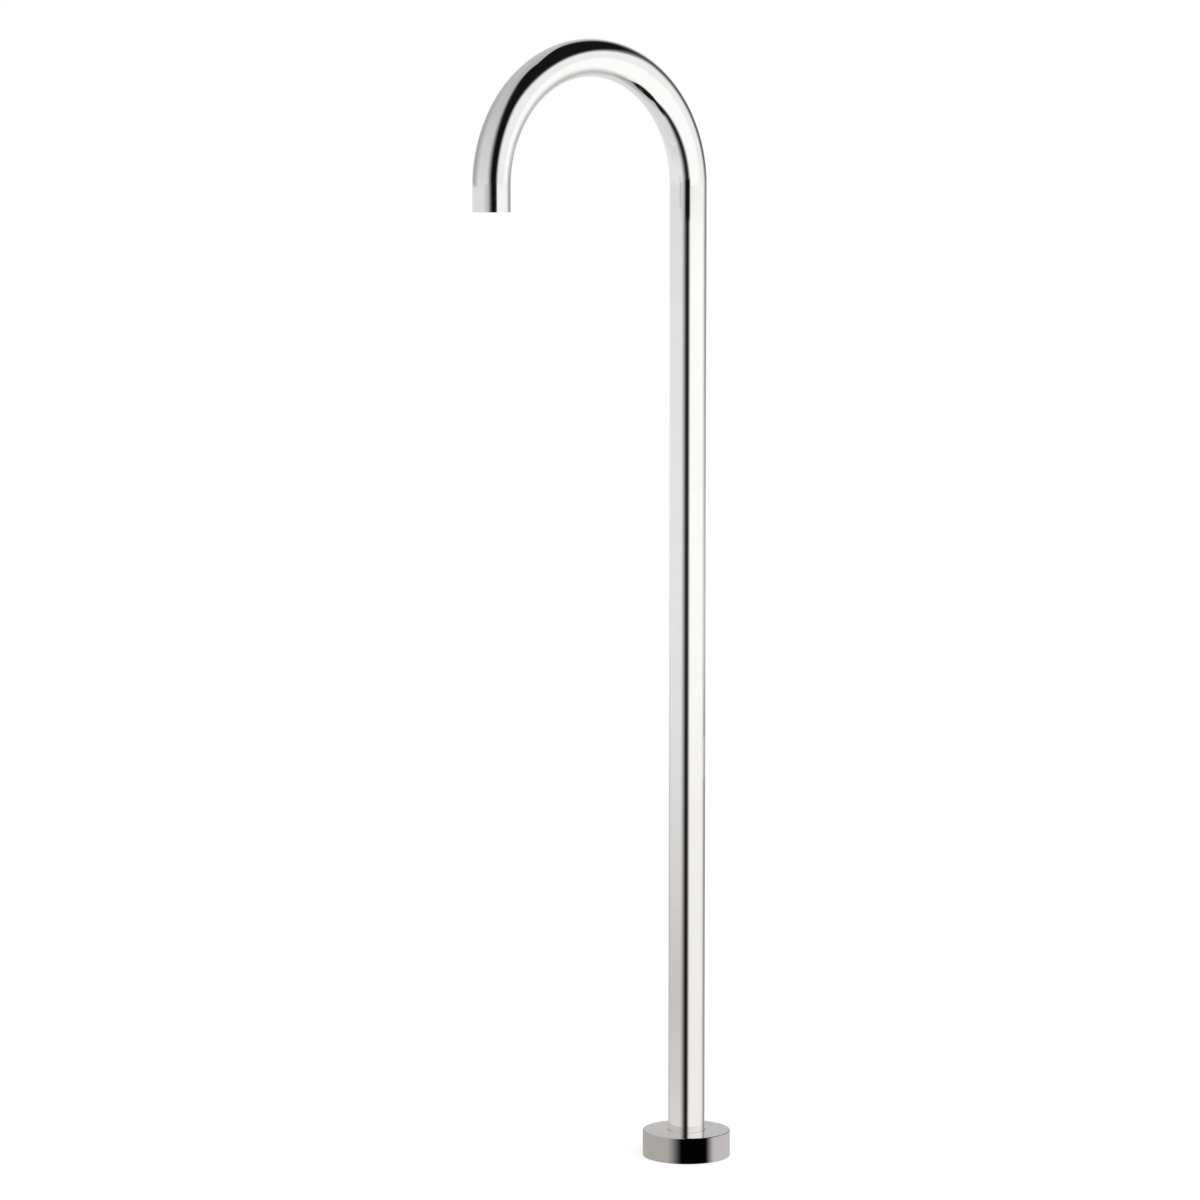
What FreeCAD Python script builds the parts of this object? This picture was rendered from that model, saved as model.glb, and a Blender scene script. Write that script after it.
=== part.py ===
# Floor standing bath filler: a bent spout tube that turns on a post inside its round foot.
# Millimetres. The origin is on the floor at the column's axis, +Z is up, and the spout reaches towards -Y.
import FreeCAD, Part
import Sketcher
import math
import os
import re

# Driving dimensions. Each is a cell of the sheet, under this name.
SIZES = {
    # spout tube
    "tube_diameter": 35.0,
    "tube_wall": 1.2,
    "bend_radius": 118.0,
    "springline_height": 930.0,
    "tip_drop": 23.0,
    "tip_round": 0.4,
    # running and seating clearances
    "braze_gap": 0.05,
    "seal_clearance": 0.05,
    "socket_clearance": 0.3,
    "axial_clearance": 0.1,
    "thread_gap": 0.05,
    # floor gasket and flange
    "gasket_thickness": 1.5,
    "gasket_inset": 0.5,
    "flange_play": 0.7,
    "flange_thickness": 8.0,
    "hub_wall": 7.2,
    "hub_gap": 0.5,
    "flange_chamfer": 0.8,
    "fixing_hole": 6.5,
    "fixing_count": 4,
    "gasket_hole_margin": 0.5,
    # swivel post
    "inlet_thread_minor": 18.63,
    "inlet_thread_depth": 14.0,
    "inlet_cone": 2.0,
    "waterway": 15.0,
    "post_thread": 26.0,
    "post_clearance": 0.45,
    "post_length": 34.0,
    "shoulder_thickness": 3.0,
    "shoulder_inset": 1.4,
    "post_ring_section": 1.3,
    "post_ring_inset": 0.9,
    # seals and slip rings on the post
    "ring_section": 2.0,
    "ring_play": 0.4,
    "slip_wall": 1.1,
    "slip_length": 3.8,
    "groove_pitch": 6.5,
    "first_groove": 5.0,
    "washer_thickness": 1.5,
    "washer_play": 0.4,
    # foot sleeve and its lock
    "sleeve_wall": 3.5,
    "sleeve_tail": 28.0,
    "collar_height": 6.0,
    "lock_groove_width": 3.0,
    "lock_groove_depth": 1.7,
    "lock_clearance": 0.3,
    "lock_thread": 4.0,
    "lock_key": 2.0,
    "lock_key_depth": 2.0,
    "lock_sunk": 0.4,
    "lock_count": 3,
    # cover flange
    "cover_diameter": 84.0,
    "cover_height": 24.8,
    "cover_wall": 1.8,
    "cover_gap": 0.3,
    "cover_lip": 0.7,
    "cover_ring_section": 1.5,
    "cover_ring_clearance": 0.1,
    "cover_bore_clearance": 0.3,
    "cover_edge_round": 1.0,
    "cover_rim_round": 0.3,
    # outlet end
    "outlet_recess": 1.0,
    "bush_wall": 2.3,
    "bush_length": 15.0,
    "bush_ledge": 2.2,
    "bush_ledge_height": 2.0,
    "aerator_thread_gap": 0.1,
    "housing_wall": 1.4,
    "housing_ledge": 1.4,
    "housing_ledge_height": 1.0,
    "key_notch_width": 2.4,
    "key_notch_depth": 0.8,
    "key_notch_count": 4,
    "seal_thickness": 1.4,
    "seal_width": 2.0,
    "cartridge_wall": 1.0,
    "cartridge_play": 0.1,
    "honeycomb_height": 4.5,
    "honeycomb_cell": 2.0,
    "honeycomb_web": 0.35,
    "screen_thickness": 0.6,
    "screen_cell": 1.5,
    "screen_web": 0.5,
    "screen_gap": 0.7,
    "diffuser_thickness": 1.2,
    "diffuser_hole": 1.2,
    "diffuser_hole_inset": 2.8,
    "diffuser_hole_count": 12,
    "cone_height": 4.5,
    "cone_rim": 0.8,
    "cone_cap": 3.0,
    "cone_wall": 0.6,
    "cone_slot": 0.8,
    "cone_slot_count": 12,
}

# Places and radii worked out from the driving dimensions.
TUBE_RADIUS = "(tube_diameter / 2)"
TUBE_BORE = f"({TUBE_RADIUS} - tube_wall)"
SLEEVE_TAIL_RADIUS = f"({TUBE_BORE} - braze_gap)"
SLEEVE_BORE = f"({SLEEVE_TAIL_RADIUS} - sleeve_wall)"
POST_RADIUS = f"({SLEEVE_BORE} - post_clearance)"
SOCKET_RADIUS = f"({TUBE_RADIUS} + socket_clearance)"
HUB_RADIUS = f"({SOCKET_RADIUS} + hub_wall)"
SHOULDER_RADIUS = f"({SOCKET_RADIUS} - shoulder_inset)"
COVER_RADIUS = "(cover_diameter / 2)"
COVER_INNER = f"({COVER_RADIUS} - cover_wall)"
COVER_BORE = f"({TUBE_RADIUS} + cover_bore_clearance)"
COVER_GROOVE_WIDTH = "(cover_ring_section + 2 * cover_ring_clearance)"
COVER_TOP_THICKNESS = f"({COVER_GROOVE_WIDTH} + 2 * cover_lip)"
FLANGE_RADIUS = f"({COVER_INNER} - flange_play)"
FIXING_RADIUS = f"(({HUB_RADIUS} + {FLANGE_RADIUS}) / 2)"

PLATE_TOP = "(gasket_thickness + flange_thickness)"
SHOULDER_TOP = f"({PLATE_TOP} + shoulder_thickness)"
SLEEVE_FOOT = f"({SHOULDER_TOP} + washer_thickness + axial_clearance)"
TUBE_FOOT = f"({SLEEVE_FOOT} + collar_height)"
HUB_TOP = f"(cover_gap + cover_height - {COVER_TOP_THICKNESS} - hub_gap)"
LOCK_HEIGHT = f"({SLEEVE_FOOT} + collar_height / 2)"
TIP_HEIGHT = "(springline_height - tip_drop)"
OUTLET_Y = "(-2 * bend_radius)"

BUSH_FOOT = f"({TIP_HEIGHT} + outlet_recess)"
BUSH_BORE = f"({SLEEVE_TAIL_RADIUS} - bush_wall)"
HOUSING_RADIUS = f"({BUSH_BORE} - aerator_thread_gap)"
HOUSING_BORE = f"({HOUSING_RADIUS} - housing_wall)"
HOUSING_HEIGHT = "(bush_length - bush_ledge_height - seal_thickness)"
CARTRIDGE_RADIUS = f"({HOUSING_BORE} - cartridge_play)"
CARTRIDGE_BORE = f"({CARTRIDGE_RADIUS} - cartridge_wall)"
CARTRIDGE_FOOT = f"({BUSH_FOOT} + housing_ledge_height)"
CARTRIDGE_HEIGHT = f"({HOUSING_HEIGHT} - housing_ledge_height)"
SCREEN_RADIUS = f"({CARTRIDGE_BORE} - cartridge_play)"

# Lengths closer than this are the same, and a swept volume may be this share off.
SAME_LENGTH = 1e-4
SAME_SHARE = 1e-3

# The post's four grooves from the bottom up, with the ring that sits in each.
POST_RINGS = ["lower_slip_ring", "lower_o_ring", "upper_o_ring", "upper_slip_ring"]


def formula(text):
    """The same formula with each dimension's name pointing at its cell of the sheet."""
    def cell(match):
        return "Sizes." + match.group() if match.group() in SIZES else match.group()
    return re.sub(r"[a-z_]+", cell, text)


def make_sheet(doc):
    """The sheet of driving dimensions, one a row."""
    sheet = doc.addObject("Spreadsheet::Sheet", "Sizes")
    for row, (name, value) in enumerate(SIZES.items(), start=1):
        sheet.set(f"A{row}", name)
        sheet.set(f"B{row}", str(value))
        sheet.setAlias(f"B{row}", name)
    doc.recompute()


def origin_feature(body, role):
    """The body's own origin plane or axis with this role."""
    for feature in body.Origin.OriginFeatures:
        if feature.Role == role:
            return feature
    raise ValueError(f"{body.Label} has no {role}")


def place(piece, height, reach="0"):
    """Seat a piece at a height above the floor and a distance along Y."""
    piece.setExpression("Placement.Base.y", formula(reach))
    piece.setExpression("Placement.Base.z", formula(height))


def new_body(doc, label, height, reach="0"):
    body = doc.addObject("PartDesign::Body", label)
    body.Label = label
    place(body, height, reach)
    return body


def new_sketch(body, name, role):
    sketch = body.newObject("Sketcher::SketchObject", name)
    sketch.AttachmentSupport = [(origin_feature(body, role), "")]
    sketch.MapMode = "FlatFace"
    return sketch


def dimension(sketch, kind, geometry, text):
    """Add a driving constraint and bind it to a formula."""
    index = sketch.addConstraint(Sketcher.Constraint(kind, *geometry, 1.0))
    sketch.setExpression(f"Constraints[{index}]", formula(text))


def corner_dimension(sketch, kind, axis, corner, text):
    """Hold one corner at a distance from the sketch's origin, or on its axis where that is 0."""
    if text == "0":
        sketch.addConstraint(Sketcher.Constraint("PointOnObject", corner, 1, axis))
    else:
        dimension(sketch, kind, (-1, 1, corner, 1), text)


def outline_sketch(body, name, role, outline):
    """A closed outline of straight sides. Each corner is a pair of formulas, across and up."""
    sketch = new_sketch(body, name, role)
    count = len(outline)
    # The sides start as a regular polygon. The dimensions below then fix every corner.
    spots = [FreeCAD.Vector(math.cos(2 * math.pi * i / count), math.sin(2 * math.pi * i / count), 0)
             for i in range(count)]
    for i in range(count):
        sketch.addGeometry(Part.LineSegment(spots[i], spots[(i + 1) % count]), False)
    for i in range(count):
        sketch.addConstraint(Sketcher.Constraint("Coincident", i, 2, (i + 1) % count, 1))
    for i, (across, up) in enumerate(outline):
        before = outline[i - 1] if i else (None, None)
        if across == before[0]:
            sketch.addConstraint(Sketcher.Constraint("Vertical", i - 1))
        else:
            corner_dimension(sketch, "DistanceX", -2, i, across)
        if up == before[1]:
            sketch.addConstraint(Sketcher.Constraint("Horizontal", i - 1))
        else:
            corner_dimension(sketch, "DistanceY", -1, i, up)
    return sketch


def circles_sketch(body, name, role, radii):
    """Circles about the sketch's origin."""
    sketch = new_sketch(body, name, role)
    for i, radius in enumerate(radii):
        sketch.addGeometry(Part.Circle(FreeCAD.Vector(0, 0, 0), FreeCAD.Vector(0, 0, 1), i + 1.0), False)
        sketch.addConstraint(Sketcher.Constraint("Coincident", i, 3, -1, 1))
        dimension(sketch, "Radius", (i,), radius)
    return sketch


def revolve(body, sketch, axis="V_Axis"):
    turn = body.newObject("PartDesign::Revolution", body.Label + "_turn")
    turn.Profile = (sketch, [""])
    turn.ReferenceAxis = (sketch, [axis])
    turn.Angle = 360.0
    return turn


def turned_piece(doc, label, outline, height, reach="0"):
    """A piece turned about Z, from an outline of (radius, height above its own foot)."""
    body = new_body(doc, label, height, reach)
    revolve(body, outline_sketch(body, label + "_section", "XZ_Plane", outline))
    doc.recompute()
    return body


def ring_outline(inner, outer, thickness):
    return [(inner, "0"), (outer, "0"), (outer, thickness), (inner, thickness)]


def repeat_around(body, features, count):
    """Repeat features evenly about the body's own Z axis."""
    pattern = body.newObject("PartDesign::PolarPattern", features[-1].Name + "_pattern")
    pattern.Originals = features
    pattern.Axis = (origin_feature(body, "Z_Axis"), [""])
    pattern.Angle = 360.0
    pattern.setExpression("Occurrences", formula(count))
    body.Tip = pattern
    body.Document.recompute()
    return pattern


def bore_holes(body, name, spots, diameter, count):
    """Cut round holes right through, at each (across, up) spot of the XY plane and its copies around Z."""
    before = body.Shape.Volume
    sketch = new_sketch(body, name + "_sketch", "XY_Plane")
    for i, (across, up) in enumerate(spots):
        sketch.addGeometry(Part.Circle(FreeCAD.Vector(i + 1, i + 1, 0), FreeCAD.Vector(0, 0, 1), 1.0), False)
        for kind, axis, text in (("DistanceX", -2, across), ("DistanceY", -1, up)):
            if text == "0":
                sketch.addConstraint(Sketcher.Constraint("PointOnObject", i, 3, axis))
            else:
                dimension(sketch, kind, (-1, 1, i, 3), text)
        dimension(sketch, "Diameter", (i,), diameter)
    pocket = body.newObject("PartDesign::Pocket", name)
    pocket.Profile = (sketch, [""])
    pocket.Type = "ThroughAll"
    pocket.Midplane = True
    body.Document.recompute()
    repeat_around(body, [pocket], count)
    check_smaller(body, before)


def check_smaller(body, before):
    if body.Shape.Volume >= before:
        raise ValueError(f"a cut in {body.Label} removed nothing")


def cut_box(body, name, corner, size):
    """A box cut out of the body. Corner and size are (x, y, z) formulas."""
    box = body.newObject("PartDesign::SubtractiveBox", name)
    box.AttachmentSupport = [(origin_feature(body, "XY_Plane"), "")]
    box.MapMode = "FlatFace"
    for side, text in zip(("Length", "Width", "Height"), size):
        box.setExpression(side, formula(text))
    for axis, text in zip("xyz", corner):
        box.setExpression(f"AttachmentOffset.Base.{axis}", formula(text))
    body.Document.recompute()
    return box


def circle_edges(body, radius, height):
    """Names of the tip feature's full circles of this radius at this height above the body's own foot."""
    names = []
    for number, edge in enumerate(body.Tip.Shape.Edges, start=1):
        curve = edge.Curve
        if (isinstance(curve, Part.Circle) and abs(curve.Radius - radius) < SAME_LENGTH
                and abs(curve.Center.z - height) < SAME_LENGTH):
            names.append(f"Edge{number}")
    if not names:
        raise ValueError(f"{body.Label} has no edge of radius {radius} at {height}")
    return names


def dress_edges(body, kind, size, rings):
    """Fillet or chamfer the circles given as (radius, height) formulas."""
    doc = body.Document
    names = []
    for radius, height in rings:
        names += circle_edges(body, worked_out(doc, radius), worked_out(doc, height))
    plain = body.Tip
    dressing = body.newObject(f"PartDesign::{kind}", f"{body.Label}_{kind.lower()}_{size}")
    dressing.Base = (plain, names)
    dressing.setExpression("Radius" if kind == "Fillet" else "Size", formula(size))
    body.Tip = dressing
    doc.recompute()


def worked_out(doc, text):
    """The number that a formula gives, read back from a property bound to it."""
    probe = doc.getObject("Reading") or doc.addObject("App::FeaturePython", "Reading")
    if "value" not in probe.PropertiesList:
        probe.addProperty("App::PropertyFloat", "value")
    probe.setExpression("value", formula(text))
    probe.recompute()
    return probe.value


def floor_holes(body, name, diameter):
    """The four screw holes, turned half a step so that they lie between the X and Y axes."""
    along = f"{FIXING_RADIUS} * sqrt(0.5)"
    bore_holes(body, name, [(along, along)], diameter, "fixing_count")


def make_gasket(doc):
    outer = f"{FLANGE_RADIUS} - gasket_inset"
    inner = "post_thread / 2 + gasket_hole_margin"
    body = turned_piece(doc, "flange_gasket", ring_outline(inner, outer, "gasket_thickness"), "0")
    floor_holes(body, "gasket_screw_hole", "fixing_hole + 2 * gasket_hole_margin")
    return body


def make_flange(doc):
    """Brass plate that is screwed to the floor, with a hub around the column's foot."""
    plate = "flange_thickness"
    hub_top = f"({HUB_TOP} - gasket_thickness)"
    outline = [
        ("post_thread / 2 + thread_gap", "0"),
        (FLANGE_RADIUS, "0"),
        (FLANGE_RADIUS, plate),
        (HUB_RADIUS, plate),
        (HUB_RADIUS, hub_top),
        (SOCKET_RADIUS, hub_top),
        (SOCKET_RADIUS, plate),
        ("post_thread / 2 + thread_gap", plate),
    ]
    body = turned_piece(doc, "floor_flange", outline, "gasket_thickness")
    dress_edges(body, "Chamfer", "flange_chamfer", [(FLANGE_RADIUS, plate), (HUB_RADIUS, hub_top)])
    floor_holes(body, "floor_screw_hole", "fixing_hole")
    before = body.Shape.Volume
    sketch = new_sketch(body, "lock_hole_sketch", "YZ_Plane")
    sketch.addGeometry(Part.Circle(FreeCAD.Vector(0, 1, 0), FreeCAD.Vector(0, 0, 1), 1.0), False)
    sketch.addConstraint(Sketcher.Constraint("PointOnObject", 0, 3, -2))
    dimension(sketch, "DistanceY", (-1, 1, 0, 3), f"{LOCK_HEIGHT} - gasket_thickness")
    dimension(sketch, "Radius", (0,), "lock_thread / 2 + thread_gap")
    hole = body.newObject("PartDesign::Pocket", "lock_hole")
    hole.Profile = (sketch, [""])
    hole.Type = "Length"
    hole.Reversed = True
    hole.setExpression("Length", formula(f"{HUB_RADIUS} + lock_sunk"))
    doc.recompute()
    repeat_around(body, [hole], "lock_count")
    check_smaller(body, before)
    return body


def groove_foot(number):
    """Height of a ring groove above the post's shoulder."""
    return f"(first_groove + {number} * groove_pitch)"


def ring_height(name):
    """Length of the ring that sits in a groove, along the post."""
    return "ring_section" if name.endswith("o_ring") else "slip_length"


def ring_inner(name):
    """Inner radius of a ring that seals or slides on the sleeve's bore."""
    thickness = "ring_section" if name.endswith("o_ring") else "slip_wall"
    return f"({SLEEVE_BORE} - seal_clearance - {thickness})"


def make_post(doc):
    """Brass post: a threaded stub in the flange, a shoulder, four ring grooves and the supply's thread."""
    shoulder = "(flange_thickness + shoulder_thickness)"
    stub = "(post_thread / 2)"
    seal_outer = f"({SHOULDER_RADIUS} - post_ring_inset)"
    seal_inner = f"({seal_outer} - post_ring_section - 2 * seal_clearance)"
    seal_top = "(flange_thickness + post_ring_section)"
    top = f"({shoulder} + post_length)"
    outline = [
        ("inlet_thread_minor / 2", "0"),
        (stub, "0"),
        (stub, "flange_thickness"),
        (seal_inner, "flange_thickness"),
        (seal_inner, seal_top),
        (seal_outer, seal_top),
        (seal_outer, "flange_thickness"),
        (SHOULDER_RADIUS, "flange_thickness"),
        (SHOULDER_RADIUS, shoulder),
        (POST_RADIUS, shoulder),
    ]
    for number, name in enumerate(POST_RINGS):
        foot = f"({shoulder} + {groove_foot(number)})"
        head = f"({foot} + {ring_height(name)} + ring_play)"
        bottom = f"({ring_inner(name)} - seal_clearance)"
        outline += [(POST_RADIUS, foot), (bottom, foot), (bottom, head), (POST_RADIUS, head)]
    outline += [
        (POST_RADIUS, top),
        ("waterway / 2", top),
        ("waterway / 2", "inlet_thread_depth + inlet_cone"),
        ("inlet_thread_minor / 2", "inlet_thread_depth"),
    ]
    return turned_piece(doc, "swivel_post", outline, "gasket_thickness")


def make_o_ring(doc, label, inner, section, foot):
    """An O-ring from its inner radius, its section and the height of its underside."""
    ring = doc.addObject("Part::Torus", label)
    ring.Label = label
    ring.setExpression("Radius1", formula(f"{inner} + {section} / 2"))
    ring.setExpression("Radius2", formula(f"{section} / 2"))
    place(ring, f"{foot} + {section} / 2")
    return ring


def make_post_rings(doc):
    """Two slip rings carry the sleeve, and two O-rings between them hold the water."""
    rings = []
    for number, name in enumerate(POST_RINGS):
        foot = f"{SHOULDER_TOP} + {groove_foot(number)} + ring_play / 2"
        inner = ring_inner(name)
        if name.endswith("o_ring"):
            rings.append(make_o_ring(doc, name, inner, "ring_section", foot))
        else:
            section = ring_outline(inner, f"{inner} + slip_wall", "slip_length")
            rings.append(turned_piece(doc, name, section, foot))
    return rings


def make_post_seal(doc):
    """O-ring in the face groove under the post's shoulder."""
    inner = f"({SHOULDER_RADIUS} - post_ring_inset - post_ring_section - seal_clearance)"
    return make_o_ring(doc, "post_o_ring", inner, "post_ring_section", PLATE_TOP)


def make_washer(doc):
    outline = ring_outline(f"{POST_RADIUS} + washer_play", SHOULDER_RADIUS, "washer_thickness")
    return turned_piece(doc, "thrust_washer", outline, SHOULDER_TOP)


def make_sleeve(doc):
    """Brass sleeve brazed into the column's foot, with a groove for the locking screws in its collar."""
    groove_foot_height = "(collar_height / 2 - lock_groove_width / 2)"
    groove_head_height = "(collar_height / 2 + lock_groove_width / 2)"
    groove_radius = f"({TUBE_RADIUS} - lock_groove_depth)"
    top = "(collar_height + sleeve_tail)"
    outline = [
        (SLEEVE_BORE, "0"),
        (TUBE_RADIUS, "0"),
        (TUBE_RADIUS, groove_foot_height),
        (groove_radius, groove_foot_height),
        (groove_radius, groove_head_height),
        (TUBE_RADIUS, groove_head_height),
        (TUBE_RADIUS, "collar_height"),
        (SLEEVE_TAIL_RADIUS, "collar_height"),
        (SLEEVE_TAIL_RADIUS, top),
        (SLEEVE_BORE, top),
    ]
    return turned_piece(doc, "foot_sleeve", outline, SLEEVE_FOOT)


def make_lock_screws(doc):
    """Dog point screws through the hub. Their points run in the sleeve's groove."""
    body = new_body(doc, "locking_grub_screws", LOCK_HEIGHT)
    body.AllowCompound = True
    point = f"({TUBE_RADIUS} - lock_groove_depth + lock_clearance)"
    point_radius = "(lock_groove_width / 2 - lock_clearance)"
    thread_start = f"({SOCKET_RADIUS} + lock_clearance)"
    head = f"({HUB_RADIUS} - lock_sunk)"
    outline = [
        (point, "0"),
        (point, point_radius),
        (thread_start, point_radius),
        (thread_start, "lock_thread / 2"),
        (head, "lock_thread / 2"),
        (head, "0"),
    ]
    screw = revolve(body, outline_sketch(body, "screw_section", "XZ_Plane", outline), "H_Axis")
    doc.recompute()
    before = body.Shape.Volume
    point_up, half_up = "(lock_key / sqrt(3))", "(lock_key / sqrt(12))"
    hexagon = [
        (point_up, "0"),
        (half_up, "lock_key / 2"),
        (f"-{half_up}", "lock_key / 2"),
        (f"-{point_up}", "0"),
        (f"-{half_up}", "-lock_key / 2"),
        (half_up, "-lock_key / 2"),
    ]
    key_face = outline_sketch(body, "key_face", "YZ_Plane", hexagon)
    key_face.setExpression("AttachmentOffset.Base.z", formula(head))
    socket = body.newObject("PartDesign::Pocket", "key_socket")
    socket.Profile = (key_face, [""])
    socket.Type = "Length"
    socket.setExpression("Length", formula("lock_key_depth"))
    doc.recompute()
    check_smaller(body, before)
    repeat_around(body, [screw, socket], "lock_count")
    return body


def make_cover(doc):
    """Round cover over the flange, turned from brass, with an O-ring groove in its bore."""
    underside = f"(cover_height - {COVER_TOP_THICKNESS})"
    groove_low = f"({underside} + cover_lip)"
    groove_high = "(cover_height - cover_lip)"
    groove_radius = f"({TUBE_RADIUS} + cover_ring_section + 2 * cover_ring_clearance)"
    outline = [
        (COVER_INNER, "0"),
        (COVER_RADIUS, "0"),
        (COVER_RADIUS, "cover_height"),
        (COVER_BORE, "cover_height"),
        (COVER_BORE, groove_high),
        (groove_radius, groove_high),
        (groove_radius, groove_low),
        (COVER_BORE, groove_low),
        (COVER_BORE, underside),
        (COVER_INNER, underside),
    ]
    body = turned_piece(doc, "cover_flange", outline, "cover_gap")
    dress_edges(body, "Fillet", "cover_edge_round", [(COVER_RADIUS, "cover_height")])
    dress_edges(body, "Fillet", "cover_rim_round", [(COVER_RADIUS, "0"), (COVER_BORE, "cover_height")])
    return body


def make_cover_ring(doc):
    """O-ring in the cover's bore, which grips the column."""
    foot = f"cover_gap + cover_height - cover_lip - {COVER_GROOVE_WIDTH} + cover_ring_clearance"
    inner = f"({TUBE_RADIUS} + cover_ring_clearance)"
    return make_o_ring(doc, "cover_o_ring", inner, "cover_ring_section", foot)


def make_tube(doc):
    """The column, the half circle bend and the short straight tip, as one drawn and bent tube."""
    body = new_body(doc, "spout_tube", TUBE_FOOT)
    sizes = doc.Sizes
    rise = sizes.springline_height
    bend = sizes.bend_radius
    top = FreeCAD.Vector(0, rise, 0)
    far = FreeCAD.Vector(-2 * bend, rise, 0)
    spine = new_sketch(body, "tube_centre_line", "YZ_Plane")
    spine.addGeometry(Part.LineSegment(FreeCAD.Vector(0, 0, 0), top), False)
    half_circle = Part.Circle(FreeCAD.Vector(-bend, rise, 0), FreeCAD.Vector(0, 0, 1), bend)
    spine.addGeometry(Part.ArcOfCircle(half_circle, 0, math.pi), False)
    spine.addGeometry(Part.LineSegment(far, far - FreeCAD.Vector(0, sizes.tip_drop, 0)), False)
    spine.addConstraint(Sketcher.Constraint("Coincident", 0, 1, -1, 1))
    spine.addConstraint(Sketcher.Constraint("Vertical", 0))
    spine.addConstraint(Sketcher.Constraint("Tangent", 0, 2, 1, 1))
    spine.addConstraint(Sketcher.Constraint("Tangent", 1, 2, 2, 1))
    spine.addConstraint(Sketcher.Constraint("Vertical", 2))
    dimension(spine, "Radius", (1,), "bend_radius")
    dimension(spine, "DistanceY", (0, 1, 0, 2), f"springline_height - {TUBE_FOOT}")
    dimension(spine, "DistanceY", (2, 2, 2, 1), "tip_drop")
    section = circles_sketch(body, "tube_section", "XY_Plane", [TUBE_BORE, TUBE_RADIUS])
    doc.recompute()
    pipe = body.newObject("PartDesign::AdditivePipe", "tube_sweep")
    pipe.Profile = (section, [""])
    pipe.Spine = (spine, ["Edge1", "Edge2", "Edge3"])
    doc.recompute()
    check_tube(body, spine, sizes)
    tip = f"{TIP_HEIGHT} - {TUBE_FOOT}"
    dress_edges(body, "Fillet", "tip_round", [(TUBE_RADIUS, tip)])
    return body


def check_tube(body, spine, sizes):
    """A sweep can come out wrong and still be valid, so compare it with its section times its length."""
    outer = sizes.tube_diameter / 2
    section = math.pi * (outer ** 2 - (outer - sizes.tube_wall) ** 2)
    expected = section * spine.Shape.Length
    if abs(body.Shape.Volume / expected - 1) > SAME_SHARE:
        raise ValueError(f"the tube holds {body.Shape.Volume:.0f} mm3 and not {expected:.0f}")


def make_outlet_bush(doc):
    """Brass ring brazed into the tip, with the aerator's thread and the ledge for its seal."""
    ledge = "(bush_length - bush_ledge_height)"
    outline = [
        (BUSH_BORE, "0"),
        (SLEEVE_TAIL_RADIUS, "0"),
        (SLEEVE_TAIL_RADIUS, "bush_length"),
        (f"{BUSH_BORE} - bush_ledge", "bush_length"),
        (f"{BUSH_BORE} - bush_ledge", ledge),
        (BUSH_BORE, ledge),
    ]
    return turned_piece(doc, "outlet_bush", outline, BUSH_FOOT, OUTLET_Y)


def make_housing(doc):
    """The aerator's threaded ring, with notches for its key around the mouth."""
    mouth = f"({HOUSING_BORE} - housing_ledge)"
    outline = [
        (mouth, "0"),
        (HOUSING_RADIUS, "0"),
        (HOUSING_RADIUS, HOUSING_HEIGHT),
        (HOUSING_BORE, HOUSING_HEIGHT),
        (HOUSING_BORE, "housing_ledge_height"),
        (mouth, "housing_ledge_height"),
    ]
    body = turned_piece(doc, "aerator_housing", outline, BUSH_FOOT, OUTLET_Y)
    before = body.Shape.Volume
    corner = (HOUSING_BORE, "-key_notch_width / 2", "0")
    notch = cut_box(body, "key_notch", corner, ("2 * housing_wall", "key_notch_width", "key_notch_depth"))
    repeat_around(body, [notch], "key_notch_count")
    check_smaller(body, before)
    return body


def make_aerator_seal(doc):
    outer = f"{BUSH_BORE} - aerator_thread_gap"
    outline = ring_outline(f"{outer} - seal_width", outer, "seal_thickness")
    return turned_piece(doc, "aerator_seal", outline, f"{BUSH_FOOT} + {HOUSING_HEIGHT}", OUTLET_Y)


def make_cartridge(doc):
    """Plastic body that holds the aerator's screens in a stack."""
    outline = ring_outline(CARTRIDGE_BORE, CARTRIDGE_RADIUS, CARTRIDGE_HEIGHT)
    return turned_piece(doc, "aerator_cartridge", outline, CARTRIDGE_FOOT, OUTLET_Y)


def make_diffuser(doc):
    """Jet plate that breaks the water into fine streams."""
    height = f"{CARTRIDGE_FOOT} + {CARTRIDGE_HEIGHT} - diffuser_thickness"
    outline = ring_outline("0", SCREEN_RADIUS, "diffuser_thickness")
    body = turned_piece(doc, "aerator_diffuser", outline, height, OUTLET_Y)
    spot = (f"{SCREEN_RADIUS} - diffuser_hole_inset", "0")
    bore_holes(body, "jet_hole", [spot], "diffuser_hole", "diffuser_hole_count")
    return body


def make_cone_screen(doc):
    """Conical strainer over the jet plate, with slots down its wall."""
    cap = "cone_cap"
    inner = f"({SCREEN_RADIUS} - cone_wall)"
    outline = [
        (inner, "0"),
        (SCREEN_RADIUS, "0"),
        (SCREEN_RADIUS, "cone_rim"),
        (cap, "cone_height"),
        ("0", "cone_height"),
        ("0", "cone_height - cone_wall"),
        (f"{cap} - cone_wall / 2", "cone_height - cone_wall"),
        (inner, "cone_rim - cone_wall / 2"),
    ]
    height = f"{CARTRIDGE_FOOT} + {CARTRIDGE_HEIGHT}"
    body = turned_piece(doc, "aerator_cone_screen", outline, height, OUTLET_Y)
    before = body.Shape.Volume
    corner = ("cone_cap + cone_slot", "-cone_slot / 2", "cone_rim + cone_wall / 2")
    size = (f"{inner} - cone_cap - 2 * cone_slot", "cone_slot", "cone_height")
    slot = cut_box(body, "strainer_slot", corner, size)
    repeat_around(body, [slot], "cone_slot_count")
    check_smaller(body, before)
    return body


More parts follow.
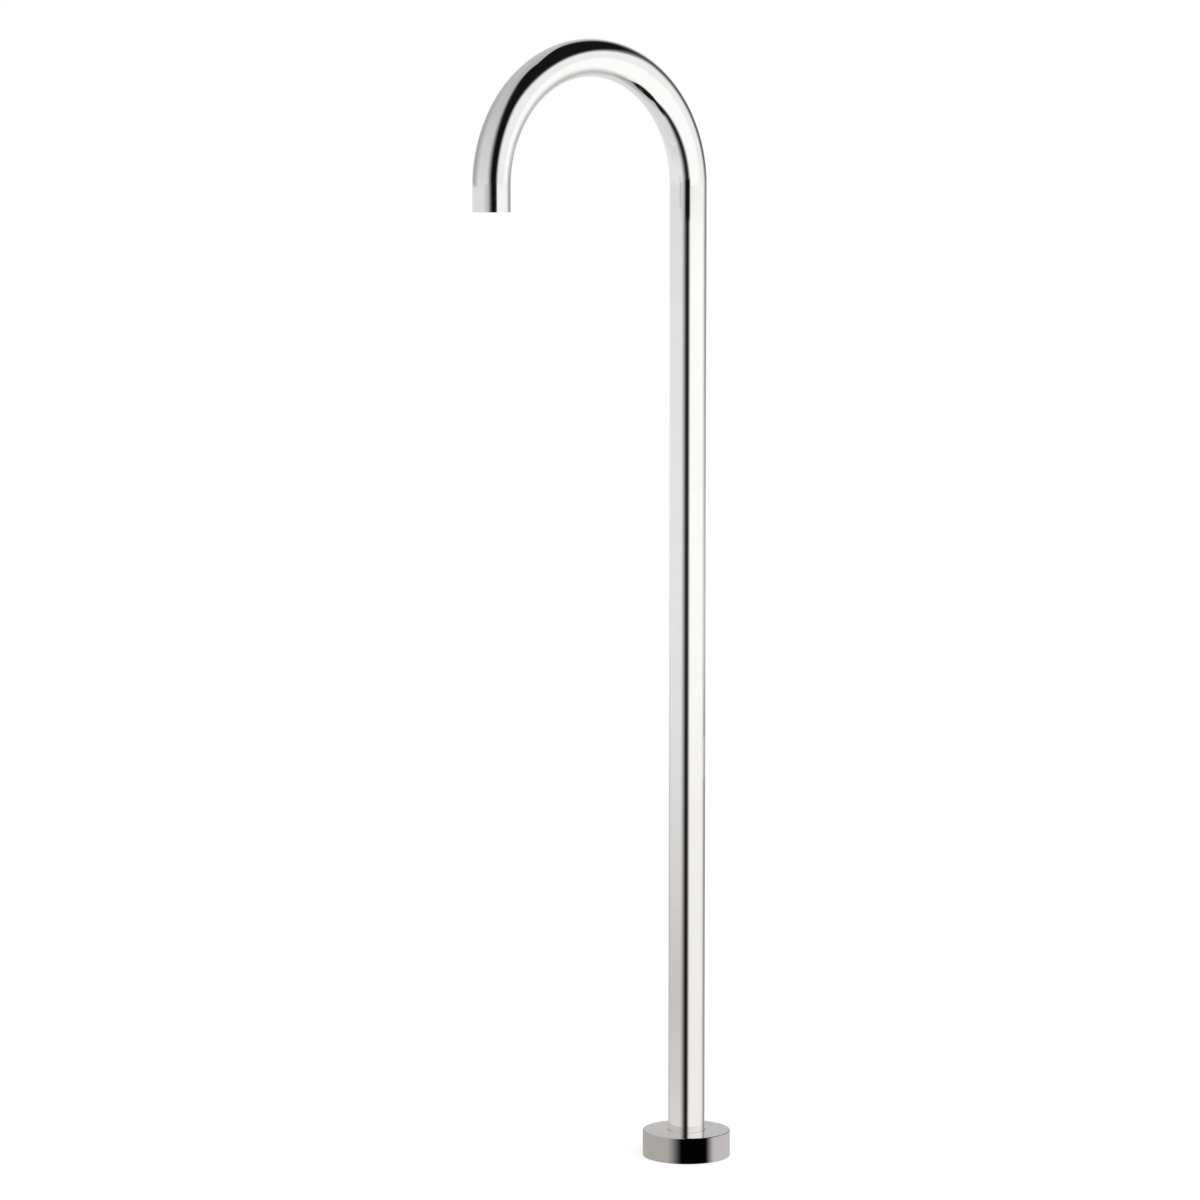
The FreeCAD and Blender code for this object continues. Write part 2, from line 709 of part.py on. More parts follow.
def honeycomb_disc(radius, thickness, cell, web):
    """A disc with a hexagonal lattice of cells, each cell wholly inside a solid rim."""
    disc = Part.makeCylinder(radius, thickness)
    pitch = cell + web
    corner = cell / math.sqrt(3)
    reach = radius - 2 * web - corner
    steps = math.ceil(radius / pitch)
    through = FreeCAD.Vector(0, 0, thickness)
    cells = []
    for row in range(-2 * steps, 2 * steps + 1):
        for column in range(-2 * steps, 2 * steps + 1):
            centre = FreeCAD.Vector(pitch * (column + row / 2), pitch * row * math.sqrt(3) / 2, 0)
            if centre.Length > reach:
                continue
            corners = []
            for k in range(7):
                angle = math.radians(60 * k + 30)
                spoke = FreeCAD.Vector(corner * math.cos(angle), corner * math.sin(angle), 0)
                corners.append(centre + spoke)
            cells.append(Part.Face(Part.makePolygon(corners)).extrude(through))
    return disc.cut(cells)


def make_honeycomb_pieces(doc):
    """The outlet's honeycomb and, above it, the two mixing screens."""
    sizes = doc.Sizes
    radius = worked_out(doc, SCREEN_RADIUS)
    foot = worked_out(doc, CARTRIDGE_FOOT)
    outlet = worked_out(doc, OUTLET_Y)
    straightener = doc.addObject("Part::Feature", "flow_straightener")
    straightener.Label = "flow_straightener"
    straightener.Shape = honeycomb_disc(
        radius, sizes.honeycomb_height, sizes.honeycomb_cell, sizes.honeycomb_web)
    straightener.Placement = FreeCAD.Placement(FreeCAD.Vector(0, outlet, foot), FreeCAD.Rotation())
    screen = honeycomb_disc(radius, sizes.screen_thickness, sizes.screen_cell, sizes.screen_web)
    upper = screen.copy()
    upper.translate(FreeCAD.Vector(0, 0, sizes.screen_thickness + sizes.screen_gap))
    screens = doc.addObject("Part::Feature", "aerator_mixing_screens")
    screens.Label = "aerator_mixing_screens"
    screens.Shape = Part.Compound([screen, upper])
    screens_foot = foot + sizes.honeycomb_height + sizes.screen_gap
    screens.Placement = FreeCAD.Placement(FreeCAD.Vector(0, outlet, screens_foot), FreeCAD.Rotation())
    return [straightener, screens]


def make_pieces(doc):
    """Every piece, from the floor up."""
    pieces = [
        make_gasket(doc),
        make_flange(doc),
        make_post(doc),
        make_post_seal(doc),
        *make_post_rings(doc),
        make_washer(doc),
        make_lock_screws(doc),
        make_cover(doc),
        make_cover_ring(doc),
        make_sleeve(doc),
        make_tube(doc),
        make_outlet_bush(doc),
        make_housing(doc),
        make_aerator_seal(doc),
        make_cartridge(doc),
        *make_honeycomb_pieces(doc),
        make_diffuser(doc),
        make_cone_screen(doc),
    ]
    doc.recompute()
    return pieces


def check_document(doc, pieces):
    """Stop before anything is written if an object failed or a piece has no sound shape."""
    for thing in doc.Objects:
        if "Invalid" in thing.State or "Error" in thing.State:
            raise ValueError(f"{thing.Label} did not recompute: {thing.State}")
    for piece in pieces:
        if piece.Shape.isNull() or not piece.Shape.isValid() or not piece.Shape.Solids:
            raise ValueError(f"{piece.Label} has no valid shape")


document = FreeCAD.newDocument("bath_filler")
make_sheet(document)
parts = make_pieces(document)
check_document(document, parts)
os.makedirs("parts", exist_ok=True)
for part in parts:
    part.Shape.exportStep(f"parts/{part.Label}.step")
    box = part.Shape.BoundBox
    print(f"{part.Label}: {len(part.Shape.Solids)} solids, {part.Shape.Volume:.1f} mm3, "
          f"z {box.ZMin:.2f} to {box.ZMax:.2f}, y {box.YMin:.2f} to {box.YMax:.2f}")
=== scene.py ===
# Floor standing bath filler: the finish of each piece, a finely spun tube and cover, and a plain studio.
# Metres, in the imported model's frame: the column stands along +Z and the spout reaches towards -Y.
import math

import bmesh
import bpy
from mathutils import Matrix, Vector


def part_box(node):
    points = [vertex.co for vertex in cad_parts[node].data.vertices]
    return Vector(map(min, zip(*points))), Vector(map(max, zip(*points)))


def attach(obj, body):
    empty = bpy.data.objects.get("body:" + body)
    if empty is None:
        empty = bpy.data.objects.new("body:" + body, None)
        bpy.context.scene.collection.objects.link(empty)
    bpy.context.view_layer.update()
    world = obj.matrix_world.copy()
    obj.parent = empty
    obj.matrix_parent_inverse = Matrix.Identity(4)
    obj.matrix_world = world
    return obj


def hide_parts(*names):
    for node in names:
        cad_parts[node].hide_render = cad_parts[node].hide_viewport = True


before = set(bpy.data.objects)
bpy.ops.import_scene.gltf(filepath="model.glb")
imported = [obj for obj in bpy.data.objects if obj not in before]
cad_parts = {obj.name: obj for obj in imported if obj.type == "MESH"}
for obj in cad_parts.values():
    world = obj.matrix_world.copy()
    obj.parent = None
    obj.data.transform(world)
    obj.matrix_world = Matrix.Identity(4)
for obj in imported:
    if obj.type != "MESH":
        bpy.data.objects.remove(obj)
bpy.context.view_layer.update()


# ---- Floor gasket and O-rings ----
# Black rubber. The gasket is punched from sheet and lies between the flange and the floor; the rings are
# moulded and sit in their grooves. New rubber is matt with a fine grain and a thin grey bloom.
rubber_black = (0.016, 0.016, 0.017, 1)
rubber_bloom = (0.055, 0.054, 0.053, 1)


def add(tree, kind, inputs=None, **settings):
    """A shader node with its settings. An input is a value or the output that feeds it."""
    node = tree.nodes.new(kind)
    for name, value in settings.items():
        setattr(node, name, value)
    for name, value in (inputs or {}).items():
        if isinstance(value, bpy.types.NodeSocket):
            tree.links.new(value, node.inputs[name])
        else:
            node.inputs[name].default_value = value
    return node


def mix_colours(tree, share, first, second):
    """The first colour with a share of the second laid over it."""
    mixer = tree.nodes.new("ShaderNodeMix")
    mixer.data_type = "RGBA"
    socket = {s.identifier: s for s in mixer.inputs}
    for name, value in (("Factor_Float", share), ("A_Color", first), ("B_Color", second)):
        if isinstance(value, bpy.types.NodeSocket):
            tree.links.new(value, socket[name])
        else:
            socket[name].default_value = value
    return {s.identifier: s for s in mixer.outputs}["Result_Color"]


def new_group(name, inputs, outputs):
    """A node group with these sockets: the group, what comes in and what goes out."""
    group = bpy.data.node_groups.new(name, "ShaderNodeTree")
    for socket, kind in inputs.items():
        group.interface.new_socket(name=socket, in_out="INPUT", socket_type="NodeSocket" + kind)
    for socket, kind in outputs.items():
        group.interface.new_socket(name=socket, in_out="OUTPUT", socket_type="NodeSocket" + kind)
    return group, group.nodes.new("NodeGroupInput").outputs, group.nodes.new("NodeGroupOutput").inputs


def new_material(name, shader):
    """A material, its node tree, its Principled shader with plain values, and its Object coordinates."""
    material = bpy.data.materials.new(name)
    material.use_nodes = True
    tree = material.node_tree
    principled = tree.nodes["Principled BSDF"]
    for socket, value in shader.items():
        principled.inputs[socket].default_value = value
    position = add(tree, "ShaderNodeTexCoord").outputs["Object"]
    return material, tree, principled, position


def dress(material, *nodes):
    """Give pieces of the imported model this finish."""
    for name in nodes:
        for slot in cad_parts[name].material_slots:
            slot.link = "OBJECT"
            slot.material = material


# The skin of a moulded or punched piece: patches to mix tones by, and a fine relief.
grain, grain_in, grain_out = new_group(
    "moulded_grain",
    {"Vector": "Vector", "Grain": "Float", "Patches": "Float"},
    {"Patch": "Float", "Relief": "Float"})
patch_noise = add(grain, "ShaderNodeTexNoise", {
    "Vector": grain_in["Vector"], "Scale": grain_in["Patches"], "Detail": 3.0, "Roughness": 0.6})
patch_range = add(grain, "ShaderNodeMapRange", {
    "Value": patch_noise.outputs["Fac"], "From Min": 0.35, "From Max": 0.68})
relief_noise = add(grain, "ShaderNodeTexNoise", {
    "Vector": grain_in["Vector"], "Scale": grain_in["Grain"], "Detail": 2.0, "Roughness": 0.55})
grain.links.new(patch_range.outputs["Result"], grain_out["Patch"])
grain.links.new(relief_noise.outputs["Fac"], grain_out["Relief"])


def moulded(name, tones, roughness, grain_scale, patch_scale, relief, shader=None):
    """A moulded finish: two near tones in patches, uneven gloss and a fine grain."""
    material, tree, principled, position = new_material(name, shader or {})
    skin = add(tree, "ShaderNodeGroup", node_tree=grain)
    tree.links.new(position, skin.inputs["Vector"])
    skin.inputs["Grain"].default_value = grain_scale
    skin.inputs["Patches"].default_value = patch_scale
    tone = mix_colours(tree, skin.outputs["Patch"], *tones)
    gloss = add(tree, "ShaderNodeMapRange", {
        "Value": skin.outputs["Patch"], "To Min": roughness[0], "To Max": roughness[1]})
    bump = add(tree, "ShaderNodeBump", {
        "Height": skin.outputs["Relief"], "Strength": 0.5, "Distance": relief})
    tree.links.new(tone, principled.inputs["Base Color"])
    tree.links.new(gloss.outputs["Result"], principled.inputs["Roughness"])
    tree.links.new(bump.outputs["Normal"], principled.inputs["Normal"])
    return material


rubber = moulded(
    "seal_rubber_matt", (rubber_black, rubber_bloom), roughness=(0.5, 0.72), grain_scale=5200.0,
    patch_scale=90.0, relief=0.00005)
dress(rubber, "flange_gasket", "post_o_ring", "lower_o_ring", "upper_o_ring", "cover_o_ring", "aerator_seal")


# ---- Floor flange, swivel post and foot sleeve ----
# Bright brass, turned on a lathe: fine rings left by the tool run round the column's axis. The flange is
# screwed to the floor, the post into the flange, and the sleeve is brazed into the column's foot.
brass_bright = (0.90, 0.71, 0.37, 1)
brass_dulled = (0.74, 0.55, 0.26, 1)
brass_groove = (0.42, 0.29, 0.12, 1)
tool_pitch = 0.00022


def calculate(tree, operation, first, second=0.0):
    """The result of a sum with one or two values, or the outputs that feed them."""
    return add(tree, "ShaderNodeMath", {0: first, 1: second}, operation=operation).outputs["Value"]


# Tool marks of a lathe: rings that follow the radius and the height, uneven, and patches of tarnish.
turning, turning_in, turning_out = new_group(
    "turning_marks",
    {"Vector": "Vector", "Pitch": "Float", "Patches": "Float"},
    {"Ring": "Float", "Patch": "Float"})
across = add(turning, "ShaderNodeVectorMath", {0: turning_in["Vector"], 1: (1, 1, 0)}, operation="MULTIPLY")
radius = add(turning, "ShaderNodeVectorMath", {0: across.outputs["Vector"]}, operation="LENGTH")
parts = add(turning, "ShaderNodeSeparateXYZ", {"Vector": turning_in["Vector"]})
radius_steps = calculate(turning, "DIVIDE", radius.outputs["Value"], turning_in["Pitch"])
height_steps = calculate(turning, "DIVIDE", parts.outputs["Z"], turning_in["Pitch"])
tool_path = add(turning, "ShaderNodeCombineXYZ", {"X": radius_steps, "Y": height_steps})
ring_noise = add(turning, "ShaderNodeTexNoise", {
    "Vector": tool_path.outputs["Vector"], "Scale": 1.0, "Detail": 3.0, "Roughness": 0.6})
tarnish = add(turning, "ShaderNodeTexNoise", {
    "Vector": turning_in["Vector"], "Scale": turning_in["Patches"], "Detail": 4.0, "Roughness": 0.62})
tarnish_range = add(turning, "ShaderNodeMapRange", {
    "Value": tarnish.outputs["Fac"], "From Min": 0.38, "From Max": 0.7})
turning.links.new(ring_noise.outputs["Fac"], turning_out["Ring"])
turning.links.new(tarnish_range.outputs["Result"], turning_out["Patch"])


def turned(name, tones, groove, roughness, pitch, relief, patch_scale=70.0, axis=(0, 0, 0), metallic=1.0,
           shader=None):
    """A lathe finish about the upright axis through this point."""
    material, tree, principled, position = new_material(name, {"Metallic": metallic, **(shader or {})})
    centred = add(tree, "ShaderNodeMapping", {
        "Vector": position, "Location": tuple(-part for part in axis)})
    marks = add(tree, "ShaderNodeGroup", node_tree=turning)
    tree.links.new(centred.outputs["Vector"], marks.inputs["Vector"])
    marks.inputs["Pitch"].default_value = pitch
    marks.inputs["Patches"].default_value = patch_scale
    groove_share = add(tree, "ShaderNodeMapRange", {
        "Value": marks.outputs["Ring"], "From Min": 0.62, "From Max": 0.42, "To Max": 0.45})
    tone = mix_colours(tree, marks.outputs["Patch"], *tones)
    tone = mix_colours(tree, groove_share.outputs["Result"], tone, groove)
    gloss = add(tree, "ShaderNodeMapRange", {
        "Value": marks.outputs["Ring"], "From Min": 0.3, "From Max": 0.7,
        "To Min": roughness[1], "To Max": roughness[0]})
    bump = add(tree, "ShaderNodeBump", {
        "Height": marks.outputs["Ring"], "Strength": 0.6, "Distance": relief})
    tree.links.new(tone, principled.inputs["Base Color"])
    tree.links.new(gloss.outputs["Result"], principled.inputs["Roughness"])
    tree.links.new(bump.outputs["Normal"], principled.inputs["Normal"])
    return material


brass = turned(
    "turned_brass", (brass_bright, brass_dulled), brass_groove, roughness=(0.2, 0.36), pitch=tool_pitch,
    relief=0.00003)
dress(brass, "floor_flange", "swivel_post", "foot_sleeve")


# ---- Slip rings and thrust washer ----
# White low friction plastic, turned from bar. They carry and guide the column on its post, and have a waxy
# sheen with hardly visible tool rings.
plastic_white = (0.84, 0.84, 0.82, 1)
plastic_shade = (0.76, 0.76, 0.73, 1)
plastic_groove = (0.70, 0.70, 0.67, 1)

slip_plastic = turned(
    "slip_plastic_white", (plastic_white, plastic_shade), plastic_groove, roughness=(0.34, 0.5),
    pitch=0.0003, relief=0.00002, metallic=0.0, shader={"Specular IOR Level": 0.4})
dress(slip_plastic, "lower_slip_ring", "upper_slip_ring", "thrust_washer")


# ---- Locking grub screws ----
# Three stainless dog point screws through the flange's hub. Their points run in the sleeve's groove, so the
# column turns but can't be pulled up. Rolled steel, with a dull grey film from its heat treatment.
steel_light = (0.56, 0.56, 0.57, 1)
steel_film = (0.36, 0.355, 0.35, 1)

screw_steel = moulded(
    "grub_screw_steel", (steel_light, steel_film), roughness=(0.26, 0.42), grain_scale=6000.0,
    patch_scale=800.0, relief=0.00002, shader={"Metallic": 1.0})
dress(screw_steel, "locking_grub_screws")


# ---- Cover flange ----
# The round foot that shows: turned brass, polished and chromium plated. It only drops over the flange, and
# its O-ring grips the column. Spun here from its section, because its reflections show every flat.
cover_radius = 0.042
cover_wall = 0.0018
cover_top_thickness = 0.0031
cover_bore = 0.0178
ring_groove = 0.0192
groove_lip = 0.0007
cover_top_edge = 0.001
cover_fine_edge = 0.0003
cover_sides = 192
edge_steps = 4
same_place = 1e-6
chrome_clear = (0.870, 0.865, 0.852, 1)
chrome_hazed = (0.838, 0.833, 0.822, 1)


def soft_step(tree, value, start, end):
    """A share that rises softly from 0 at the start to 1 at the end."""
    step = add(tree, "ShaderNodeMapRange", {
        "Value": value, "From Min": start, "From Max": end}, interpolation_type="SMOOTHSTEP")
    return step.outputs["Result"]


# Plated and polished metal: broad hand wiped haze, and small dried spots.
plating, plating_in, plating_out = new_group(
    "plated_skin", {"Vector": "Vector"}, {"Haze": "Float", "Spots": "Float"})
haze_noise = add(plating, "ShaderNodeTexNoise", {
    "Vector": plating_in["Vector"], "Scale": 26.0, "Detail": 4.0, "Roughness": 0.6, "Distortion": 0.6})
haze_range = add(plating, "ShaderNodeMapRange", {
    "Value": haze_noise.outputs["Fac"], "From Min": 0.42, "From Max": 0.75})
spot_cells = add(plating, "ShaderNodeTexVoronoi", {
    "Vector": plating_in["Vector"], "Scale": 420.0, "Randomness": 1.0}, feature="F1")
spot_edge = soft_step(plating, spot_cells.outputs["Distance"], start=0.16, end=0.08)
spot_places = add(plating, "ShaderNodeTexNoise", {
    "Vector": plating_in["Vector"], "Scale": 160.0, "Detail": 1.0})
spot_choice = add(plating, "ShaderNodeMapRange", {
    "Value": spot_places.outputs["Fac"], "From Min": 0.66, "From Max": 0.76})
spots = calculate(plating, "MULTIPLY", spot_edge, spot_choice.outputs["Result"])
plating.links.new(haze_range.outputs["Result"], plating_out["Haze"])
plating.links.new(spots, plating_out["Spots"])


def plated(name, tones, roughness, spot_roughness):
    """A chromium finish: a mirror that is slightly duller where it is hazed or spotted."""
    material, tree, principled, position = new_material(name, {"Metallic": 1.0})
    skin = add(tree, "ShaderNodeGroup", node_tree=plating)
    tree.links.new(position, skin.inputs["Vector"])
    tone = mix_colours(tree, skin.outputs["Haze"], *tones)
    clear_gloss = add(tree, "ShaderNodeMapRange", {
        "Value": skin.outputs["Haze"], "To Min": roughness[0], "To Max": roughness[1]})
    gloss = add(tree, "ShaderNodeMapRange", {
        "Value": skin.outputs["Spots"], "To Min": clear_gloss.outputs["Result"], "To Max": spot_roughness})
    tree.links.new(tone, principled.inputs["Base Color"])
    tree.links.new(gloss.outputs["Result"], principled.inputs["Roughness"])
    return material


def new_piece(name, mesh_code, material, body, node, smooth_below=math.radians(32)):
    """Turn finished mesh code into a piece that takes the place of a packed one."""
    bmesh.ops.recalc_face_normals(mesh_code, faces=mesh_code.faces)
    mesh = bpy.data.meshes.new(name)
    mesh_code.to_mesh(mesh)
    mesh_code.free()
    mesh.shade_smooth()
    mesh.set_sharp_from_angle(angle=smooth_below)
    mesh.materials.append(material)
    piece = bpy.data.objects.new(name, mesh)
    bpy.context.scene.collection.objects.link(piece)
    even = piece.modifiers.new("even_normals", "WEIGHTED_NORMAL")
    even.keep_sharp = True
    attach(piece, body)
    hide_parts(node)


def spin_section(section, sides):
    """A closed section of (radius, height) corners spun about the upright axis."""
    form = bmesh.new()
    corners = [form.verts.new((across, 0, up)) for across, up in section]
    for corner, following in zip(corners, corners[1:] + corners[:1]):
        form.edges.new((corner, following))
    bmesh.ops.spin(
        form, geom=form.verts[:] + form.edges[:], cent=(0, 0, 0), axis=(0, 0, 1), angle=math.tau,
        steps=sides, use_merge=True)
    bmesh.ops.remove_doubles(form, verts=form.verts, dist=1e-7)
    return form


def ring_edges(form, across, up, axis_y=0.0):
    """The edges of the circle of this radius at this height."""
    def on_ring(vert):
        return (abs(math.hypot(vert.co.x, vert.co.y - axis_y) - across) < same_place
                and abs(vert.co.z - up) < same_place)
    return [edge for edge in form.edges if all(on_ring(vert) for vert in edge.verts)]


def round_ring(form, across, up, size, axis_y=0.0):
    """Round the sharp edge that runs along a circle."""
    bmesh.ops.bevel(
        form, geom=ring_edges(form, across, up, axis_y), offset=size, segments=edge_steps,
        affect="EDGES", profile=0.5, material=-1)


cover_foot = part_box("cover_flange")[0].z
cover_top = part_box("cover_flange")[1].z
cover_under = cover_top - cover_top_thickness
cover_section = [
    (cover_radius - cover_wall, cover_foot),
    (cover_radius, cover_foot),
    (cover_radius, cover_top),
    (cover_bore, cover_top),
    (cover_bore, cover_top - groove_lip),
    (ring_groove, cover_top - groove_lip),
    (ring_groove, cover_under + groove_lip),
    (cover_bore, cover_under + groove_lip),
    (cover_bore, cover_under),
    (cover_radius - cover_wall, cover_under),
]
chrome = plated(
    "polished_chrome_plate", (chrome_clear, chrome_hazed), roughness=(0.03, 0.065), spot_roughness=0.085)
cover = spin_section(cover_section, cover_sides)
round_ring(cover, cover_radius, cover_top, cover_top_edge)
round_ring(cover, cover_radius, cover_foot, cover_fine_edge)
round_ring(cover, cover_bore, cover_top, cover_fine_edge)
new_piece("cover_plated", cover, chrome, "cover", "cover_flange")


# ---- Spout tube ----
# One thin brass tube, drawn, bent through a half circle and cut at its tip, then polished and plated. The
# foot end is brazed over the sleeve. Its mesh is drawn out along the same line, with a fine bend.
tube_radius = 0.0175
tube_wall = 0.0012
bend_radius = 0.118
springline = 0.930
tip_drop = 0.023
tip_edge = 0.0004
tube_sides = 128
bend_steps = 160

tube_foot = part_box("spout_tube")[0].z
outlet_y = -2 * bend_radius
tip_height = springline - tip_drop


def of_kind(geometry, kind):
    """The vertices, edges or faces out of a mix of them."""
    return [part for part in geometry if isinstance(part, kind)]


def draw_out(form, end_faces, move):
    """Pull the tube's end face along, and give back its new end."""
    pulled = bmesh.ops.extrude_face_region(form, geom=end_faces)["geom"]
    bmesh.ops.translate(form, verts=of_kind(pulled, bmesh.types.BMVert), vec=move)
    return of_kind(pulled, bmesh.types.BMFace)


tube = bmesh.new()
for wall_radius in (tube_radius, tube_radius - tube_wall):
    bmesh.ops.create_circle(tube, segments=tube_sides, radius=wall_radius)
bmesh.ops.bridge_loops(tube, edges=tube.edges[:])
bmesh.ops.translate(tube, verts=tube.verts, vec=(0, 0, tube_foot))
tube_end = draw_out(tube, tube.faces[:], (0, 0, springline - tube_foot))
bend = bmesh.ops.spin(
    tube, geom=tube_end, cent=(0, -bend_radius, springline), axis=(1, 0, 0), angle=math.pi, steps=bend_steps)
draw_out(tube, of_kind(bend["geom_last"], bmesh.types.BMFace), (0, 0, -tip_drop))
round_ring(tube, tube_radius, tip_height, tip_edge, outlet_y)
new_piece("spout_tube_plated", tube, chrome, "spout", "spout_tube")


# ---- Outlet bush ----
# Brass ring brazed into the tip and plated with it. Its bore holds the aerator's thread, so it keeps the
# lathe's rings under the plating.
bush_tones = ((0.80, 0.80, 0.795, 1), (0.72, 0.715, 0.70, 1))
bush_groove = (0.55, 0.545, 0.53, 1)
outlet_axis = (0, outlet_y, 0)

plated_bush = turned(
    "turned_chrome_plate", bush_tones, bush_groove, roughness=(0.1, 0.22), pitch=0.0005, relief=0.00002,
    axis=outlet_axis)
dress(plated_bush, "outlet_bush")


# ---- Aerator ----
# A threaded ring of grey plastic screws into the tip and holds a cartridge: a honeycomb at the mouth, two
# mixing screens of thin steel, a jet plate and a slotted strainer on top, all moulded in pale plastic.
shell_tones = ((0.10, 0.103, 0.107, 1), (0.135, 0.138, 0.142, 1))
insert_tones = ((0.62, 0.63, 0.64, 1), (0.70, 0.705, 0.71, 1))
steel_mesh_tones = ((0.60, 0.60, 0.61, 1), (0.46, 0.455, 0.45, 1))

aerator_shell = moulded(
    "aerator_shell_grey", shell_tones, roughness=(0.3, 0.44), grain_scale=4200.0, patch_scale=160.0,
    relief=0.00003)
dress(aerator_shell, "aerator_housing")
aerator_insert = moulded(
    "aerator_insert_pale", insert_tones, roughness=(0.36, 0.52), grain_scale=4800.0, patch_scale=260.0,
    relief=0.00002)
dress(aerator_insert, "aerator_cartridge", "flow_straightener", "aerator_diffuser", "aerator_cone_screen")
screen_steel = moulded(
    "screen_steel_bright", steel_mesh_tones, roughness=(0.24, 0.4), grain_scale=7000.0, patch_scale=500.0,
    relief=0.00001, shader={"Metallic": 1.0})
dress(screen_steel, "aerator_mixing_screens")


# ---- Studio ----
# A white room with one camera. The polished metal shows it: pale walls, a wide soft box on the camera's
# right, a black card before the lens and under the ceiling, and soft dark gaps where the walls meet.
camera_turn = math.radians(50.37)
camera_distance = 4.12
camera_height = 0.956
camera_side = 0.08318
camera_dip = math.radians(5.8)
lens_length = 130.54
chrome_share = 0.86
curve_lift = 0.055
curve_power = 2.4
no_low_edge = (-400, 1)
no_high_edge = (400, 1)


def as_light(tone):
    """The light that chrome must reflect to show this tone in the picture, by the screen's tone curve."""
    return ((tone + curve_lift) / (1 + curve_lift)) ** curve_power / chrome_share


# How much of a card is seen in a direction: 1 inside its edges, fading to 0 outside them, in degrees. A
# spread moves its side edges apart with the square of the height.
card, card_in, card_out = new_group(
    "studio_card",
    {name: "Float" for name in (
        "Azimuth", "Elevation", "Left", "Left Fade", "Right", "Right Fade", "Low", "Low Fade", "High",
        "High Fade", "Spread")},
    {"Cover": "Float"})
raised = calculate(card, "MAXIMUM", card_in["Elevation"])
widened = calculate(card, "MULTIPLY", calculate(card, "MULTIPLY", raised, raised), card_in["Spread"])
seen_left = calculate(card, "ADD", card_in["Azimuth"], widened)
seen_right = calculate(card, "SUBTRACT", card_in["Azimuth"], widened)
cover_share = None
for angle, edge, outwards in (
        (seen_left, "Left", "SUBTRACT"), (seen_right, "Right", "ADD"),
        (card_in["Elevation"], "Low", "SUBTRACT"), (card_in["Elevation"], "High", "ADD")):
    faded_out = calculate(card, outwards, card_in[edge], card_in[edge + " Fade"])
    share = soft_step(card, angle, faded_out, card_in[edge])
    if cover_share is not None:
        share = calculate(card, "MULTIPLY", cover_share, share)
    cover_share = share
card.links.new(cover_share, card_out["Cover"])


def seen_from_camera(tree, direction):
    """A direction or place, turned so that the camera looks along +Y, and its X, Y and Z."""
    turned_away = add(tree, "ShaderNodeVectorRotate", {
        "Vector": direction, "Angle": -camera_turn}, rotation_type="Z_AXIS").outputs["Vector"]
    return turned_away, add(tree, "ShaderNodeSeparateXYZ", {"Vector": turned_away}).outputs


def studio_angles(tree, direction):
    """Degrees to the right of the camera, and degrees above the horizon, of a direction."""
    _, part = seen_from_camera(tree, direction)
    azimuth = calculate(tree, "ARCTAN2", part["X"], calculate(tree, "MULTIPLY", part["Y"], -1.0))
    elevation = calculate(tree, "ARCSINE", part["Z"])
    return [calculate(tree, "DEGREES", angle) for angle in (azimuth, elevation)]


def hang_card(tree, behind, angles, tone, left=no_low_edge, right=no_high_edge, low=no_low_edge,
              high=no_high_edge, spread=0.0):
    """Lay a card over what is behind it. Each edge is its angle and the width of its fade."""
    inputs = {"Azimuth": angles[0], "Elevation": angles[1], "Spread": spread}
    for name, (edge, fade) in {"Left": left, "Right": right, "Low": low, "High": high}.items():
        inputs[name] = edge
        inputs[name + " Fade"] = fade
    place = add(tree, "ShaderNodeGroup", inputs, node_tree=card)
    light = as_light(tone)
    return mix_colours(tree, place.outputs["Cover"], behind, (light, light, light, 1))


def colour_ramp(tree, value, stops):
    """Colours that follow a value. Each stop is a value and its colour."""
    first, last = stops[0][0], stops[-1][0]
    reach = add(tree, "ShaderNodeMapRange", {"Value": value, "From Min": first, "From Max": last})
    ramp = add(tree, "ShaderNodeValToRGB", {"Fac": reach.outputs["Result"]})
    places = ramp.color_ramp.elements
    for place, colour in stops:
        spot = (place - first) / (last - first)
        stop = {0.0: places[0], 1.0: places[-1]}.get(spot) or places.new(spot)
        stop.color = [*colour, 1]
    return ramp.outputs["Color"]


def tone_ramp(tree, value, stops):
    """The light of grey tones that follow a value. Each stop is a value and its tone."""
    return colour_ramp(tree, value, [(place, (as_light(tone),) * 3) for place, tone in stops])


world = bpy.data.worlds.new("studio")
bpy.context.scene.world = world
world.use_nodes = True
room = world.node_tree
room.nodes.clear()
direction = add(room, "ShaderNodeTexCoord").outputs["Generated"]
angles = studio_angles(room, direction)

# The walls: paler below the horizon, darker towards the ceiling. Degrees and tones.
wall_tones = [
    (-90, 0.84), (-30, 0.845), (-14, 0.893), (-4.5, 0.893), (-2.2, 0.883), (-0.9, 0.862), (0.5, 0.856),
    (7, 0.83), (90, 0.66)]
mirrored = tone_ramp(room, angles[1], wall_tones)


def hang_low_cards(tree, behind, angles):
    """The cards below the horizon: the soft box, the gap on its right and the black card below the lens."""
    seen = hang_card(tree, behind, angles, tone=0.985, left=(9, 3), right=(94, 30), high=(-0.5, 1))
    seen = hang_card(tree, seen, angles, tone=0.68, left=(133, 20), right=(134, 33), high=(-8, 2))
    return hang_card(tree, seen, angles, tone=0.12, left=(-9, 37), right=(-3, 22), high=(0.2, 0.8))


